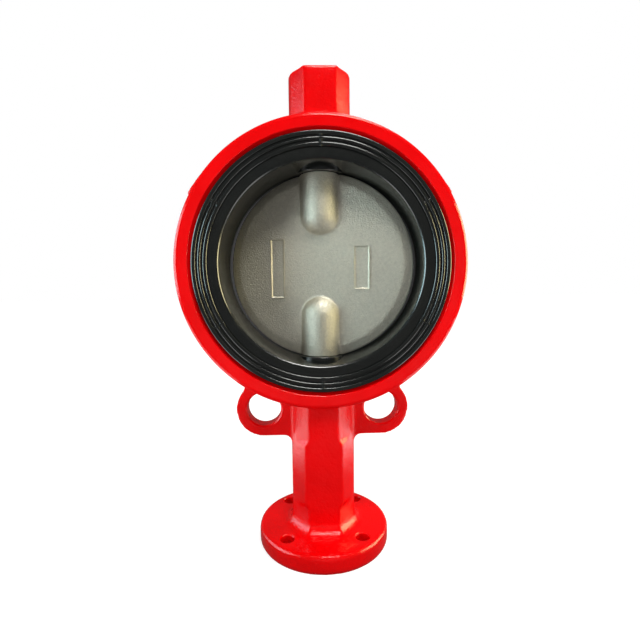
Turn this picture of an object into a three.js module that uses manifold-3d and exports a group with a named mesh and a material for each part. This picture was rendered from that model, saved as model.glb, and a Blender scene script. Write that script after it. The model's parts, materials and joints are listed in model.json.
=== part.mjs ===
// Wafer butterfly valve, DN125, standing on its actuator flange.
// Millimetres. The origin is the centre of the actuator flange's face, +Z is up
// along the stem and Y runs along the bore, with the front of the valve at -Y.

import * as THREE from 'three';
import { mergeVertices } from 'three/addons/utils/BufferGeometryUtils.js';
import Module from 'manifold-3d';

const wasm = await Module();
wasm.setup();

// ---------------------------------------------------------------- sizes

// Clearances
const GAP = 0.3;                // between pieces that touch
const RUNNING_FIT = 0.08;       // radial, round a piece that turns
const SOCKET_FIT = 0.15;        // round the squares in the disc's sockets

// Overall
const CENTRE_HEIGHT = 190;      // flange face to the centre of the bore
const STUB_REACH = 122;         // centre of the bore to the end of the stub

// Ring of the body
const RING_BORE_R = 81;
const RING_WALL = 11;
const RING_OUTER_R = RING_BORE_R + RING_WALL;
const RING_WIDTH = 54;
const RING_EDGE_ROUND = 3;
const BORE_CHAMFER_WIDTH = 2.3;
const BORE_CHAMFER_DEPTH = 3;
const PAD_RISE = 3;             // plain cast pads on the rim, between the bolts
const PAD_WIDTH = 40;
const PAD_START = 28;           // degrees above the horizontal
const PAD_END = 60;

// Neck and stub: twelve-sided castings, with a narrow facet beside each flat side
const NECK_HALF_WIDTH = 21.5;
const SIDE_HALF_DEPTH = 5;
const SHOULDER_HALF_WIDTH = 18.8;
const SHOULDER_HALF_DEPTH = 9.8;
const NECK_HALF_DEPTH = 20.5;
const NECK_FLAT_HALF_WIDTH = 9.9;
const WAIST_FLAT_HALF_WIDTH = 12.5;   // the flats are wider along the neck's middle
const WAIST_START = 28.8;
const WAIST_END = 75;
const WAIST_RAMP = 3;
const STUB_HALF_WIDTH = 20;
const STUB_FILLET_R = 4;
const NECK_FOOT_FILLET_R = 4;

// Actuator flange, F07
const FLANGE_R = 45;
const FLANGE_THICKNESS = 12;
const FLANGE_EDGE_ROUND = 2.4;
const FLANGE_FACE_CHAMFER = 1.5;
const FLANGE_BOLT_CIRCLE_R = 35;
const FLANGE_BOLT_HOLE_R = 4.5;
const SPIGOT_RECESS_R = 27.5;
const SPIGOT_RECESS_DEPTH = 3.5;

// Locating lugs, on the pipe flange's bolt circle
const PIPE_BOLT_CIRCLE_R = 105;
const LUG_ANGLE = 22.5;         // degrees from the neck
const LUG_HOLE_R = 11.5;
const LUG_OUTER_R = 18.7;
const LUG_THICKNESS = 12;
const LUG_RING_FILLET_R = 9;
const LUG_NECK_FILLET_R = 5;

// Seat: a rubber liner moulded on a rigid backing ring
const SEAT_PROUD = 1;           // the seat stands out of the ring on both sides
const SEAT_WIDTH = RING_WIDTH + 2 * SEAT_PROUD;
const SEAT_WALL = 18.9;         // from the ring's bore to the seat's bore
const SEAT_BORE_R = RING_BORE_R - SEAT_WALL;
const SEAT_LAND_HALF_WIDTH = 9;
const SEAT_LIP_R = SEAT_BORE_R + 1.7;
const SEAT_LIP_ROUND = 2.4;
const SEAT_OUTER_ROUND = 0.8;
const SEAT_RIB_INSETS = [1.1, 3.2, 4.1, 6.3, 7.3, 10.1]; // from the ring's bore inwards
const SEAT_RIB_HEIGHT = 1;
const HUB_FLAT_RISE = 2;        // round flats in the bore that the disc hubs turn on
const BACKING_INNER_R = RING_BORE_R - 6.8;
const BACKING_INSET = 7.8;      // from the seat's face to the backing ring
const BACKING_WIDTH = SEAT_WIDTH - 2 * BACKING_INSET;

// Disc
const DISC_R = SEAT_BORE_R - GAP;
const DISC_BEVEL = 6;
const DISC_FACE_R = DISC_R - DISC_BEVEL;
const DISC_HALF_THICKNESS = 5.5;
const DISC_RIM_HALF_THICKNESS = 3.4;
const DISC_RIM_ROUND = 1.2;
const DISC_OPEN_ANGLE = 10;     // degrees that the disc stands open
const HUB_SEAT_REACH = SEAT_BORE_R - HUB_FLAT_RISE;
const HUB_FACE_REACH = HUB_SEAT_REACH - GAP;
const HUB_LENGTH = 40.2;        // from a hub's flat end to its dome
const HUB_INNER_REACH = HUB_FACE_REACH - HUB_LENGTH;
const PLATE_RISE = 0.6;         // plain cast frames on the disc's face
const PLATE_BORDER = 0.9;
const LEFT_PLATE = { x: -28.7, width: 9, height: 39.5 };
const RIGHT_PLATE = { x: 28.2, width: 10, height: 28.5 };
const PLATE_DROP = 1.4;

// Drive stem, from the flange to the disc
const DRIVE_STEM_R = 9.5;
const HUB_R = DRIVE_STEM_R + 4.3;
const HUB_SEAT_R = HUB_R + 3.2;
const DRIVE_SQUARE = 14;
const DRIVE_SQUARE_START = 1;
const DRIVE_SQUARE_LENGTH = 16;
const DRIVE_SOCKET_ROUND_DEPTH = 8;
const DRIVE_SOCKET_DEPTH = 28;
const STEM_GROOVE_R = DRIVE_STEM_R - 2;

// Pivot stem, from the stub to the disc
const PIVOT_STEM_R = 8;
const PIVOT_SQUARE = 11;
const PIVOT_SOCKET_ROUND_DEPTH = 6;
const PIVOT_SOCKET_DEPTH = 24;

// What the neck holds, from the flange inwards
const POCKET_R = DRIVE_STEM_R + 5.5;
const DUST_SEAL_HEIGHT = 3.4;
const CIRCLIP_THICKNESS = 1.4;
const CIRCLIP_GROOVE_DEPTH = 1.6;
const CIRCLIP_BITE = 1.2;
const CIRCLIP_WIDTH = 3.2;
const CIRCLIP_OPENING = 50;     // degrees
const HALF_RING_HEIGHT = 3;
const THRUST_WASHER_HEIGHT = 1.5;
const BUSH_POCKET_R = DRIVE_STEM_R + 2.5;
const OUTER_BUSH_LENGTH = 22;
const O_RING_HEIGHT = 2.2;
const SPACER_HEIGHT = 1.6;
const NECK_PASSAGE_R = DRIVE_STEM_R + 0.7;
const INNER_BUSH_LENGTH = 20;

// What the stub holds, from the end inwards
const PIVOT_POCKET_R = PIVOT_STEM_R + 2.5;
const PLUG_R = PIVOT_POCKET_R + 1.5;
const PLUG_LENGTH = 10.4;
const PLUG_HEX_HALF_FLATS = 6;
const PLUG_HEX_DEPTH = 7;
const PLUG_SETBACK = 0.6;
const PIVOT_WASHER_HEIGHT = 1.7;
const PIVOT_BUSH_LENGTH = 18;

// Facets
const RING_SEGMENTS = 96;
const SEAT_SEGMENTS = 72;
const ROUND_SEGMENTS = 32;
const SMALL_SEGMENTS = 24;
const EDGE_STEPS = 3;

// ---------------------------------------------------------------- helpers

const radians = THREE.MathUtils.degToRad;

// A geometry as a closed solid that faces outwards.
function solid(geometry) {
  const bare = geometry.clone();
  bare.deleteAttribute('normal');
  bare.deleteAttribute('uv');
  const merged = mergeVertices(bare, 1e-4);
  const points = merged.attributes.position;
  const corners = [];
  let volume = 0;
  const a = new THREE.Vector3();
  const b = new THREE.Vector3();
  const c = new THREE.Vector3();
  for (let i = 0; i < merged.index.count; i += 3) {
    const [p, q, r] = [0, 1, 2].map((k) => merged.index.getX(i + k));
    if (p === q || q === r || r === p) continue;
    corners.push(p, q, r);
    a.fromBufferAttribute(points, p);
    b.fromBufferAttribute(points, q);
    c.fromBufferAttribute(points, r);
    volume += a.dot(b.cross(c));
  }
  if (volume < 0) corners.reverse();
  return new wasm.Manifold(new wasm.Mesh({
    numProp: 3,
    vertProperties: new Float32Array(points.array),
    triVerts: new Uint32Array(corners),
  }));
}

function join(...solids) {
  return solids.reduce((whole, piece) => whole.add(piece));
}

function cut(whole, ...tools) {
  return tools.reduce((left, tool) => left.subtract(tool), whole);
}

// Points along an arc, first and last included, angles in degrees.
function arc(x, y, radius, from, to, steps = EDGE_STEPS) {
  const points = [];
  for (let i = 0; i <= steps; i += 1) {
    const angle = radians(from + ((to - from) * i) / steps);
    points.push([x + radius * Math.cos(angle), y + radius * Math.sin(angle)]);
  }
  return points;
}

function vectors(points) {
  return points.map(([x, y]) => new THREE.Vector2(x, y));
}

// A profile of [radius, height] turned round Z.
function turnedUpright(points, segments = ROUND_SEGMENTS) {
  const geometry = new THREE.LatheGeometry(vectors([...points, points[0]]), segments);
  geometry.rotateX(Math.PI / 2);
  return solid(geometry);
}

// A profile of [radius, y] turned round the bore.
function turnedOnBore(points, segments = RING_SEGMENTS) {
  const geometry = new THREE.LatheGeometry(vectors([...points, points[0]]), segments);
  geometry.translate(0, 0, CENTRE_HEIGHT);
  return solid(geometry);
}

function tube(outer, inner, bottom, top, segments = ROUND_SEGMENTS) {
  return turnedUpright([[inner, bottom], [outer, bottom], [outer, top], [inner, top]], segments);
}

function rod(radius, bottom, top, segments = ROUND_SEGMENTS) {
  const geometry = new THREE.CylinderGeometry(radius, radius, top - bottom, segments);
  geometry.rotateX(Math.PI / 2);
  geometry.translate(0, 0, (bottom + top) / 2);
  return solid(geometry);
}

function box(width, depth, height, x, y, z) {
  const geometry = new THREE.BoxGeometry(width, depth, height);
  geometry.translate(x, y, z);
  return solid(geometry);
}

// A square bar along Z.
function squareBar(side, bottom, top) {
  return box(side, side, top - bottom, 0, 0, (bottom + top) / 2);
}

// The radius whose flats, not its corners, lie at the given distance.
function acrossFlats(radius, segments = ROUND_SEGMENTS) {
  return radius / Math.cos(Math.PI / segments);
}

function extruded(points, depth, basis) {
  const shape = new THREE.Shape(vectors(points));
  const geometry = new THREE.ExtrudeGeometry(shape, { depth, bevelEnabled: false, steps: 1 });
  geometry.translate(0, 0, -depth / 2);
  geometry.applyMatrix4(basis);
  return solid(geometry);
}

const X = new THREE.Vector3(1, 0, 0);
const Y = new THREE.Vector3(0, 1, 0);
const Z = new THREE.Vector3(0, 0, 1);
const FRONT_VIEW = new THREE.Matrix4().makeBasis(X, Z, Y.clone().negate());
const TOP_VIEW = new THREE.Matrix4().makeBasis(X, Y, Z);

// An outline of [x, z] given a thickness along Y, centred on the stem.
function frontPlate(points, thickness) {
  return extruded(points, thickness, FRONT_VIEW);
}

// An outline of [x, y] from one height to another.
function prism(points, bottom, top) {
  return extruded(points, top - bottom, TOP_VIEW).translate([0, 0, (bottom + top) / 2]);
}

function mirrored(points) {
  const left = points.map(([x, y]) => [-x, y]).reverse();
  return [...points, ...left];
}

// ---------------------------------------------------------------- body

const ringFace = RING_WIDTH / 2;
const stubEnd = CENTRE_HEIGHT + STUB_REACH;

function ringCasting() {
  const edge = RING_OUTER_R - RING_EDGE_ROUND;
  const round = ringFace - RING_EDGE_ROUND;
  return turnedOnBore([
    [RING_BORE_R, -ringFace + BORE_CHAMFER_DEPTH],
    [RING_BORE_R + BORE_CHAMFER_WIDTH, -ringFace],
    ...arc(edge, -round, RING_EDGE_ROUND, -90, 0),
    ...arc(edge, round, RING_EDGE_ROUND, 0, 90),
    [RING_BORE_R + BORE_CHAMFER_WIDTH, ringFace],
    [RING_BORE_R, ringFace - BORE_CHAMFER_DEPTH],
  ]);
}

function ringCore() {
  const reach = ringFace + RING_EDGE_ROUND;
  const geometry = new THREE.CylinderGeometry(RING_BORE_R, RING_BORE_R, 2 * reach, RING_SEGMENTS);
  geometry.translate(0, 0, CENTRE_HEIGHT);
  return solid(geometry);
}

// A pad that grows out of the rim and ends in a step, low down on its side.
function rimPad(low, high) {
  const root = RING_OUTER_R - RING_EDGE_ROUND;
  const steps = 8;
  const outside = [];
  for (let i = 0; i <= steps; i += 1) {
    const radius = RING_OUTER_R + PAD_RISE * (1 - i / steps);
    const angle = THREE.MathUtils.lerp(low, high, i / steps);
    outside.push(arc(0, CENTRE_HEIGHT, radius, angle, angle, 1)[0]);
  }
  return frontPlate([...outside, ...arc(0, CENTRE_HEIGHT, root, high, low, steps)], PAD_WIDTH);
}

function neckSection(halfWidth, flatHalfWidth = NECK_FLAT_HALF_WIDTH) {
  const right = [
    [flatHalfWidth, -NECK_HALF_DEPTH],
    [SHOULDER_HALF_WIDTH, -SHOULDER_HALF_DEPTH],
    [halfWidth, -SIDE_HALF_DEPTH],
    [halfWidth, SIDE_HALF_DEPTH],
    [SHOULDER_HALF_WIDTH, SHOULDER_HALF_DEPTH],
    [flatHalfWidth, NECK_HALF_DEPTH],
  ];
  return mirrored(right);
}

// The convex shape between one outline and another above it.
function lofted(bottomOutline, bottom, topOutline, top) {
  return wasm.Manifold.hull([
    ...bottomOutline.map(([x, y]) => [x, y, bottom]),
    ...topOutline.map(([x, y]) => [x, y, top]),
  ]);
}

function neckCasting() {
  const ends = neckSection(NECK_HALF_WIDTH);
  const waist = neckSection(NECK_HALF_WIDTH, WAIST_FLAT_HALF_WIDTH);
  const waistBottom = WAIST_START + WAIST_RAMP;
  const waistTop = WAIST_END - WAIST_RAMP;
  return join(
    lofted(ends, FLANGE_THICKNESS / 2, ends, WAIST_START),
    lofted(ends, WAIST_START, waist, waistBottom),
    lofted(waist, waistBottom, waist, waistTop),
    lofted(waist, waistTop, ends, WAIST_END),
    lofted(ends, WAIST_END, ends, CENTRE_HEIGHT - RING_BORE_R),
  );
}

// The neck's foot grows outwards in steps that follow a fillet.
function neckFoot() {
  const steps = [0, 1, 2];
  const feet = steps.map((step) => {
    const [low, high] = [step, step + 1].map((k) => radians((90 * k) / steps.length));
    const bottom = FLANGE_THICKNESS + NECK_FOOT_FILLET_R * (1 - Math.cos(low));
    const top = FLANGE_THICKNESS + NECK_FOOT_FILLET_R * (1 - Math.cos(high));
    const spread = (angle) => {
      const grow = 1 + (NECK_FOOT_FILLET_R * (1 - Math.sin(angle))) / NECK_HALF_WIDTH;
      return neckSection(NECK_HALF_WIDTH).map(([x, y]) => [x * grow, y * grow]);
    };
    return lofted(spread(low), bottom, spread(high), top);
  });
  return join(...feet);
}

// Fillets between the ring and the stub.
function stubFillets() {
  const across = STUB_HALF_WIDTH + STUB_FILLET_R;
  const reach = RING_OUTER_R + STUB_FILLET_R;
  const height = Math.sqrt(reach ** 2 - across ** 2);
  const lean = THREE.MathUtils.radToDeg(Math.atan2(height, across));
  const right = [
    [RING_BORE_R * Math.cos(radians(lean)), CENTRE_HEIGHT + RING_BORE_R * Math.sin(radians(lean))],
    ...arc(across, CENTRE_HEIGHT + height, STUB_FILLET_R, 180 + lean, 180, 5),
  ];
  return frontPlate(mirrored(right), 2 * SHOULDER_HALF_DEPTH);
}

const lugX = PIPE_BOLT_CIRCLE_R * Math.sin(radians(LUG_ANGLE));
const lugZ = CENTRE_HEIGHT - PIPE_BOLT_CIRCLE_R * Math.cos(radians(LUG_ANGLE));

// The outline of the right-hand lug, from the ring round its eye to the neck.
function lugOutline() {
  const toRing = RING_OUTER_R + LUG_RING_FILLET_R;
  const toEye = LUG_OUTER_R + LUG_RING_FILLET_R;
  const span = PIPE_BOLT_CIRCLE_R;
  const atRing = Math.acos((toRing ** 2 + span ** 2 - toEye ** 2) / (2 * toRing * span));
  const eyeDirection = radians(LUG_ANGLE - 90);
  const direction = eyeDirection + atRing;
  const centre = [toRing * Math.cos(direction), CENTRE_HEIGHT + toRing * Math.sin(direction)];
  const toEyeAngle = Math.atan2(lugZ - centre[1], lugX - centre[0]);
  const degrees = THREE.MathUtils.radToDeg;
  const bottom = lugZ - LUG_OUTER_R;
  const neckCorner = NECK_HALF_WIDTH + LUG_NECK_FILLET_R;
  return [
    [0, CENTRE_HEIGHT - RING_BORE_R],
    [RING_BORE_R * Math.cos(direction), CENTRE_HEIGHT + RING_BORE_R * Math.sin(direction)],
    ...arc(...centre, LUG_RING_FILLET_R, degrees(direction) + 180, degrees(toEyeAngle) + 360, 5),
    ...arc(lugX, lugZ, LUG_OUTER_R, degrees(toEyeAngle) + 180, -90, 14),
    ...arc(neckCorner, bottom - LUG_NECK_FILLET_R, LUG_NECK_FILLET_R, 90, 180, 4),
    [0, bottom - LUG_NECK_FILLET_R],
  ];
}

function lugs() {
  const right = lugOutline();
  const left = right.map(([x, z]) => [-x, z]).reverse();
  return join(frontPlate(right, LUG_THICKNESS), frontPlate(left, LUG_THICKNESS));
}

function lugEye(side) {
  const points = arc(side * lugX, lugZ, LUG_HOLE_R, 0, 360, 36).slice(0, -1);
  return frontPlate(points, 2 * LUG_THICKNESS);
}

function flangeCasting() {
  const edge = FLANGE_R - FLANGE_EDGE_ROUND;
  return turnedUpright([
    [0, 0],
    [FLANGE_R - FLANGE_FACE_CHAMFER, 0],
    [FLANGE_R, FLANGE_FACE_CHAMFER],
    ...arc(edge, FLANGE_THICKNESS - FLANGE_EDGE_ROUND, FLANGE_EDGE_ROUND, 0, 90),
    [0, FLANGE_THICKNESS],
  ], 72);
}

function flangeBoltHoles() {
  return [45, 135, 225, 315].map((angle) => {
    const x = FLANGE_BOLT_CIRCLE_R * Math.cos(radians(angle));
    const y = FLANGE_BOLT_CIRCLE_R * Math.sin(radians(angle));
    return rod(FLANGE_BOLT_HOLE_R, -1, FLANGE_THICKNESS + NECK_FOOT_FILLET_R, 24).translate([x, y, 0]);
  });
}

// ---------------------------------------------------------------- stack in the neck

const squareEnd = DRIVE_SQUARE_START + DRIVE_SQUARE_LENGTH;
const dustSealBottom = squareEnd + 1;
const circlipBottom = dustSealBottom + DUST_SEAL_HEIGHT + GAP;
const circlipTop = circlipBottom + CIRCLIP_THICKNESS;
const halfRingBottom = circlipTop + GAP;
const halfRingTop = halfRingBottom + HALF_RING_HEIGHT;
const washerBottom = halfRingTop + GAP;
const washerTop = washerBottom + THRUST_WASHER_HEIGHT;
const pocketEnd = washerTop + GAP;
const outerBushBottom = pocketEnd + GAP;
const outerBushTop = outerBushBottom + OUTER_BUSH_LENGTH;
const oRingOneBottom = outerBushTop + GAP;
const spacerBottom = oRingOneBottom + O_RING_HEIGHT + GAP;
const oRingTwoBottom = spacerBottom + SPACER_HEIGHT + GAP;
const bushPocketEnd = oRingTwoBottom + O_RING_HEIGHT + GAP;
const boreFloor = CENTRE_HEIGHT - RING_BORE_R;
const innerBushTop = boreFloor - 3 * GAP;
const innerBushBottom = innerBushTop - INNER_BUSH_LENGTH;

const plugTop = stubEnd - PLUG_SETBACK;
const plugBottom = plugTop - PLUG_LENGTH;
const plugSealBottom = plugBottom - GAP - O_RING_HEIGHT;
const plugPocketFloor = plugSealBottom - GAP;
const pivotWasherTop = plugPocketFloor;
const pivotWasherBottom = pivotWasherTop - PIVOT_WASHER_HEIGHT;
const pivotStemTop = pivotWasherBottom - GAP;
const pivotORingBottom = pivotStemTop - O_RING_HEIGHT - GAP;
const pivotBushTop = pivotORingBottom - GAP;
const pivotBushBottom = pivotBushTop - PIVOT_BUSH_LENGTH;
const boreCeiling = CENTRE_HEIGHT + RING_BORE_R;

// Everything bored out of the neck, as one turned tool.
function neckPassage() {
  const groove = POCKET_R + CIRCLIP_GROOVE_DEPTH;
  const grooveBottom = circlipBottom - GAP;
  const grooveTop = circlipTop + GAP;
  return turnedUpright([
    [0, -1],
    [SPIGOT_RECESS_R, -1],
    [SPIGOT_RECESS_R, SPIGOT_RECESS_DEPTH],
    [POCKET_R, SPIGOT_RECESS_DEPTH],
    [POCKET_R, grooveBottom],
    [groove, grooveBottom],
    [groove, grooveTop],
    [POCKET_R, grooveTop],
    [POCKET_R, pocketEnd],
    [BUSH_POCKET_R, pocketEnd],
    [BUSH_POCKET_R, bushPocketEnd],
    [NECK_PASSAGE_R, bushPocketEnd],
    [NECK_PASSAGE_R, innerBushBottom - GAP],
    [BUSH_POCKET_R, innerBushBottom - GAP],
    [BUSH_POCKET_R, CENTRE_HEIGHT],
    [0, CENTRE_HEIGHT],
  ], 48);
}

function stubPassage() {
  return turnedUpright([
    [0, CENTRE_HEIGHT],
    [PIVOT_STEM_R + 2 * GAP, CENTRE_HEIGHT],
    [PIVOT_STEM_R + 2 * GAP, pivotBushBottom - GAP],
    [PIVOT_POCKET_R, pivotBushBottom - GAP],
    [PIVOT_POCKET_R, plugPocketFloor],
    [PLUG_R, plugPocketFloor],
    [PLUG_R, stubEnd + 1],
    [0, stubEnd + 1],
  ], 48);
}

function body() {
  const stub = prism(neckSection(STUB_HALF_WIDTH), boreCeiling, stubEnd);
  const casting = join(
    flangeCasting(),
    neckFoot(),
    neckCasting(),
    lugs(),
    stub,
    stubFillets(),
    rimPad(PAD_START, PAD_END),
    rimPad(180 - PAD_START, 180 - PAD_END),
  );
  const hollow = cut(casting, ringCore());
  const whole = join(hollow, ringCasting());
  return cut(whole, neckPassage(), stubPassage(), lugEye(1), lugEye(-1), ...flangeBoltHoles());
}

// ---------------------------------------------------------------- seat

const seatOuterR = RING_BORE_R - GAP;
const seatFace = SEAT_WIDTH / 2;
const seatBackR = BACKING_INNER_R - GAP;
const backingGrooveHalf = BACKING_WIDTH / 2 + GAP;

// Half of the seat's section, from its outer edge over the ribs to the bore.
function seatHalfSection() {
  const valley = seatFace - SEAT_RIB_HEIGHT;
  const ribs = SEAT_RIB_INSETS.flatMap((inset, i) => {
    const radius = RING_BORE_R - inset;
    const crest = [radius, seatFace];
    const foot = [radius, valley];
    return i % 2 === 0 ? [foot, crest] : [crest, foot];
  });
  return [
    [seatBackR, backingGrooveHalf],
    [seatOuterR, backingGrooveHalf],
    [seatOuterR, seatFace - 2 * SEAT_OUTER_ROUND],
    ...ribs.slice(1),
    ...arc(SEAT_LIP_R + SEAT_LIP_ROUND, valley - SEAT_LIP_ROUND, SEAT_LIP_ROUND, 90, 180),
    [SEAT_BORE_R, SEAT_LAND_HALF_WIDTH],
  ];
}

function seat() {
  const half = seatHalfSection();
  const other = half.map(([radius, y]) => [radius, -y]).reverse();
  const liner = turnedOnBore([...half, ...other], SEAT_SEGMENTS);
  const reach = Math.sqrt((seatBackR - GAP) ** 2 - HUB_SEAT_R ** 2);
  const flats = [-1, 1].map((side) => {
    const near = CENTRE_HEIGHT + side * HUB_SEAT_REACH;
    const far = CENTRE_HEIGHT + side * reach;
    return rod(HUB_SEAT_R, Math.min(near, far), Math.max(near, far));
  });
  const driveHole = rod(acrossFlats(DRIVE_STEM_R + RUNNING_FIT), 0, CENTRE_HEIGHT);
  const pivotHole = rod(acrossFlats(PIVOT_STEM_R + RUNNING_FIT), CENTRE_HEIGHT, stubEnd);
  return cut(join(liner, ...flats), driveHole, pivotHole);
}

function seatBackingRing() {
  const half = BACKING_WIDTH / 2;
  const outer = seatOuterR - GAP / 2;
  const ring = turnedOnBore([
    [BACKING_INNER_R, -half],
    [outer, -half],
    [outer, half],
    [BACKING_INNER_R, half],
  ], SEAT_SEGMENTS);
  const driveHole = rod(DRIVE_STEM_R + GAP, 0, CENTRE_HEIGHT);
  const pivotHole = rod(PIVOT_STEM_R + GAP, CENTRE_HEIGHT, stubEnd);
  return cut(ring, driveHole, pivotHole);
}

// ---------------------------------------------------------------- disc

function hub(side) {
  const dome = HUB_INNER_REACH + HUB_R;
  const sphere = new THREE.SphereGeometry(HUB_R, 32, 16);
  sphere.rotateX(Math.PI / 2);
  sphere.translate(0, 0, side * dome);
  const from = Math.min(side * dome, side * HUB_FACE_REACH);
  const to = Math.max(side * dome, side * HUB_FACE_REACH);
  return join(rod(HUB_R, from, to, 32), solid(sphere));
}

function discPlate({ x, width, height }) {
  const y = -DISC_HALF_THICKNESS;
  const slab = box(width, 2 * PLATE_RISE, height, x, y, -PLATE_DROP);
  const [innerWidth, innerHeight] = [width, height].map((size) => size - 2 * PLATE_BORDER);
  const window = box(innerWidth, 2 * PLATE_RISE, innerHeight, x, y - PLATE_RISE, -PLATE_DROP);
  return cut(slab, window);
}

function disc() {
  const rimEdge = DISC_RIM_HALF_THICKNESS - DISC_RIM_ROUND;
  const half = [
    [DISC_R, rimEdge],
    [DISC_R - DISC_RIM_ROUND / 2, DISC_RIM_HALF_THICKNESS],
    [DISC_FACE_R, DISC_HALF_THICKNESS],
    [0, DISC_HALF_THICKNESS],
  ];
  const other = half.map(([radius, y]) => [radius, -y]).reverse();
  const plate = new THREE.LatheGeometry(vectors([...other, ...half]), RING_SEGMENTS);
  const trim = box(3 * DISC_R, 3 * DISC_R, 2 * HUB_FACE_REACH, 0, 0, 0);
  const whole = join(
    solid(plate).intersect(trim),
    hub(1),
    hub(-1),
    discPlate(LEFT_PLATE),
    discPlate(RIGHT_PLATE),
  );
  const driveRound = DRIVE_STEM_R + SOCKET_FIT;
  const driveSquare = DRIVE_SQUARE + 2 * SOCKET_FIT;
  const pivotRound = PIVOT_STEM_R + SOCKET_FIT;
  const pivotSquare = PIVOT_SQUARE + 2 * SOCKET_FIT;
  const sockets = [
    rod(driveRound, -HUB_FACE_REACH - 1, -HUB_FACE_REACH + DRIVE_SOCKET_ROUND_DEPTH),
    squareBar(driveSquare, -HUB_FACE_REACH - 1, -HUB_FACE_REACH + DRIVE_SOCKET_DEPTH),
    rod(pivotRound, HUB_FACE_REACH - PIVOT_SOCKET_ROUND_DEPTH, HUB_FACE_REACH + 1),
    squareBar(pivotSquare, HUB_FACE_REACH - PIVOT_SOCKET_DEPTH, HUB_FACE_REACH + 1),
  ];
  return cut(whole, ...sockets);
}

// ---------------------------------------------------------------- stems

const driveHubFace = CENTRE_HEIGHT - HUB_FACE_REACH;
const pivotHubFace = CENTRE_HEIGHT + HUB_FACE_REACH;

function driveStem() {
  const shoulder = driveHubFace + DRIVE_SOCKET_ROUND_DEPTH - GAP;
  const tip = driveHubFace + DRIVE_SOCKET_DEPTH - GAP;
  const chamfer = 1.2;
  const shaft = turnedUpright([
    [0, squareEnd - 4],
    [DRIVE_STEM_R - chamfer, squareEnd - 4],
    [DRIVE_STEM_R, squareEnd],
    [DRIVE_STEM_R, halfRingBottom - GAP],
    [STEM_GROOVE_R, halfRingBottom - GAP],
    [STEM_GROOVE_R, halfRingTop + GAP],
    [DRIVE_STEM_R, halfRingTop + GAP],
    [DRIVE_STEM_R, shoulder],
    [0, shoulder],
  ]);
  const round = (bottom, top) => turnedUpright([
    [0, bottom],
    [DRIVE_STEM_R - chamfer, bottom],
    [DRIVE_STEM_R, bottom + chamfer],
    [DRIVE_STEM_R, top - chamfer],
    [DRIVE_STEM_R - chamfer, top],
    [0, top],
  ]);
  const outerEnd = squareBar(DRIVE_SQUARE, DRIVE_SQUARE_START, squareEnd)
    .intersect(round(DRIVE_SQUARE_START, squareEnd + 2 * chamfer));
  const innerEnd = squareBar(DRIVE_SQUARE, shoulder - 1, tip).intersect(round(shoulder - 4, tip));
  return join(shaft, outerEnd, innerEnd);
}

function pivotStem() {
  const shoulder = pivotHubFace - PIVOT_SOCKET_ROUND_DEPTH + GAP;
  const tip = pivotHubFace - PIVOT_SOCKET_DEPTH + GAP;
  const chamfer = 1;
  const shaft = turnedUpright([
    [0, shoulder],
    [PIVOT_STEM_R, shoulder],
    [PIVOT_STEM_R, pivotStemTop - chamfer],
    [PIVOT_STEM_R - chamfer, pivotStemTop],
    [0, pivotStemTop],
  ]);
  return join(shaft, squareBar(PIVOT_SQUARE, tip, shoulder + 1));
}

// ---------------------------------------------------------------- small pieces

const runningR = acrossFlats(DRIVE_STEM_R + RUNNING_FIT);
const pivotRunningR = acrossFlats(PIVOT_STEM_R + RUNNING_FIT);

function halfRing(side) {
  const outer = POCKET_R - GAP;
  const inner = acrossFlats(STEM_GROOVE_R + RUNNING_FIT);
  const ring = tube(outer, inner, halfRingBottom, halfRingTop);
  const height = HALF_RING_HEIGHT + 2;
  const middle = (halfRingBottom + halfRingTop) / 2;
  const keep = box(outer, 3 * outer, height, side * (outer / 2 + GAP / 2), 0, middle);
  return ring.intersect(keep);
}

function circlip() {
  const outer = POCKET_R + CIRCLIP_BITE;
  const inner = outer - CIRCLIP_WIDTH;
  const half = CIRCLIP_OPENING / 2;
  const points = [
    ...arc(0, 0, outer, 90 + half, 450 - half, 30),
    ...arc(0, 0, inner, 450 - half, 90 + half, 30),
  ];
  return prism(points, circlipBottom, circlipTop);
}

// A ring of round section between a shaft and a pocket wall.
function oRing(shaft, outer, bottom) {
  const inner = acrossFlats(shaft, SMALL_SEGMENTS);
  const middle = (inner + outer) / 2;
  const radius = Math.min((outer - inner) / 2, O_RING_HEIGHT / 2);
  const height = bottom + O_RING_HEIGHT / 2;
  const section = arc(middle, height, radius, 0, 360, 8).slice(0, -1);
  return turnedUpright(section, SMALL_SEGMENTS);
}

function dustSeal() {
  const outer = POCKET_R - GAP;
  const top = dustSealBottom + DUST_SEAL_HEIGHT;
  const lip = runningR + 1.4;
  return turnedUpright([
    [lip, dustSealBottom],
    [outer, dustSealBottom],
    [outer, top],
    [runningR, top],
    [runningR, dustSealBottom + 1.4],
  ]);
}

function stubPlug() {
  const outer = PLUG_R - GAP;
  const chamfer = 1;
  const slug = turnedUpright([
    [0, plugBottom],
    [outer, plugBottom],
    [outer, plugTop - chamfer],
    [outer - chamfer, plugTop],
    [0, plugTop],
  ]);
  const hex = rod(acrossFlats(PLUG_HEX_HALF_FLATS, 6), plugTop - PLUG_HEX_DEPTH, stubEnd, 6);
  return cut(slug, hex);
}

// ---------------------------------------------------------------- materials

function finish(colour, roughness, metalness) {
  return () => new THREE.MeshStandardMaterial({ color: colour, roughness, metalness });
}

const redPaint = finish('#e2121b', 0.22, 0);
const blackRubber = finish('#1f2120', 0.5, 0);
const darkRubber = finish('#151515', 0.6, 0);
const phenolic = finish('#3b2416', 0.55, 0);
const castSteel = finish('#9a9a90', 0.42, 0.9);
const turnedSteel = finish('#c4c6c6', 0.28, 1);
const springSteel = finish('#6f7276', 0.35, 1);
const whiteNylon = finish('#e9e5da', 0.5, 0);
const zincSteel = finish('#b9bbb4', 0.35, 1);

// ---------------------------------------------------------------- assembly

const group = new THREE.Group();

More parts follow.
